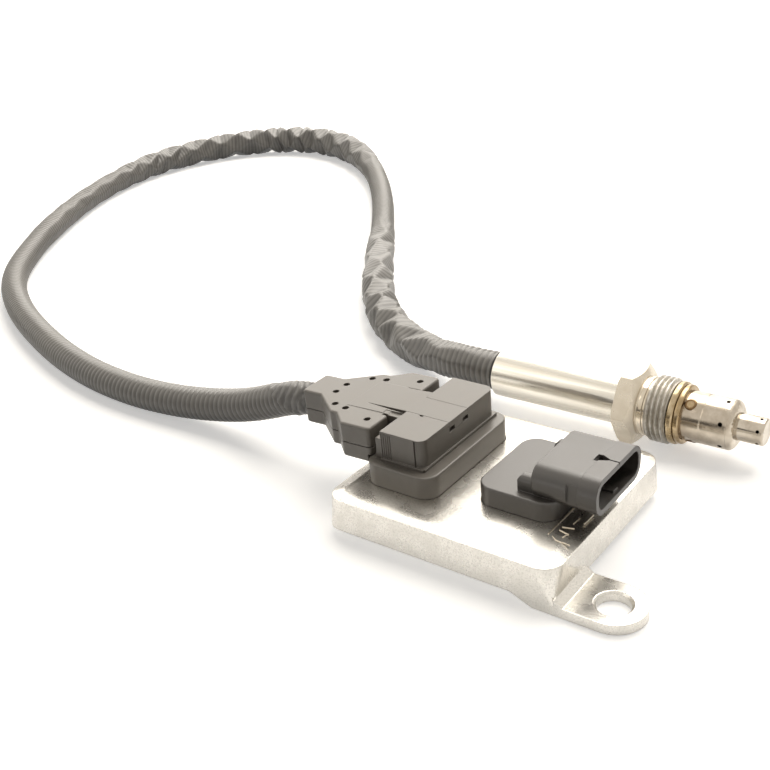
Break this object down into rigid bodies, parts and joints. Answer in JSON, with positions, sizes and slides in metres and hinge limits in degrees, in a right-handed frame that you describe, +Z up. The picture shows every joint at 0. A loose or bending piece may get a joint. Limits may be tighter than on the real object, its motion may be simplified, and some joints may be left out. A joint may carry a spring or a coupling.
{
  "type": "nitrogen oxide sensor",
  "caption": "Nitrogen oxide sensor: cast control unit with two lugs, plugged-in harness connector, corrugated conduit and a threaded probe with gland nut.",
  "frame": {"origin": "centre of the control unit between its two lug holes, on the surface that the lugs stand on", "axes": "+Z up, +X along the control unit towards the supply connector's mouth and along the probe towards its tip, +Y from the control unit to the probe"},
  "size_m": [0.4305, 0.3265, 0.0282],
  "materials": {
    "cast_aluminium": "fine blasted casting, satin",
    "black_nylon": "moulded, fine grain",
    "conduit_plastic": "corrugated, soft sheen",
    "seal_rubber": "matt",
    "board_laminate": "lacquered",
    "chip_resin": "matt",
    "capacitor_can": "satin",
    "plated_steel": "plated",
    "tinned_brass": "tinned",
    "wire_insulation": "smooth",
    "polished_steel": "drawn and polished",
    "turned_steel": "turned, satin",
    "heat_tinted_steel": "turned, straw heat tint",
    "drawn_steel": "drawn",
    "ceramic": "sintered"
  },
  "bodies": {
    "sensor": {"housing": "cast_aluminium", "base_plate": "cast_aluminium", "base_seal": "seal_rubber", "circuit_board": "board_laminate", "board_screws": "plated_steel", "microcontroller": "chip_resin", "sensor_driver_chip": "chip_resin", "supply_regulator": "chip_resin", "capacitors": "capacitor_can", "harness_header": "black_nylon", "harness_header_gasket": "seal_rubber", "harness_header_pins": "tinned_brass", "supply_header": "black_nylon", "supply_header_gasket": "seal_rubber", "supply_header_pins": "tinned_brass", "harness_connector": "black_nylon", "connector_seal": "seal_rubber", "connector_terminals": "tinned_brass", "cover_top_half": "black_nylon", "cover_bottom_half": "black_nylon", "harness_wires": "wire_insulation", "conduit": "conduit_plastic", "probe_sleeve": "polished_steel", "sensor_body": "heat_tinted_steel", "seal_ring": "heat_tinted_steel", "outer_protection_tube": "drawn_steel", "inner_protection_tube": "drawn_steel", "sensing_element": "ceramic", "front_bush": "ceramic", "powder_packing": "ceramic", "rear_bush": "ceramic", "contact_carrier": "ceramic", "contact_springs": "plated_steel", "sleeve_grommet": "seal_rubber", "sensor_wires": "wire_insulation"},
    "gland_nut": {"gland_nut": "turned_steel"}
  },
  "joints": [
    {"name": "gland_nut_turn", "type": "hinge", "parent": "sensor", "child": "gland_nut", "pos_m": [0.02, 0.0577, 0.011], "axis": [1, 0, 0], "continuous": true}
  ]
}
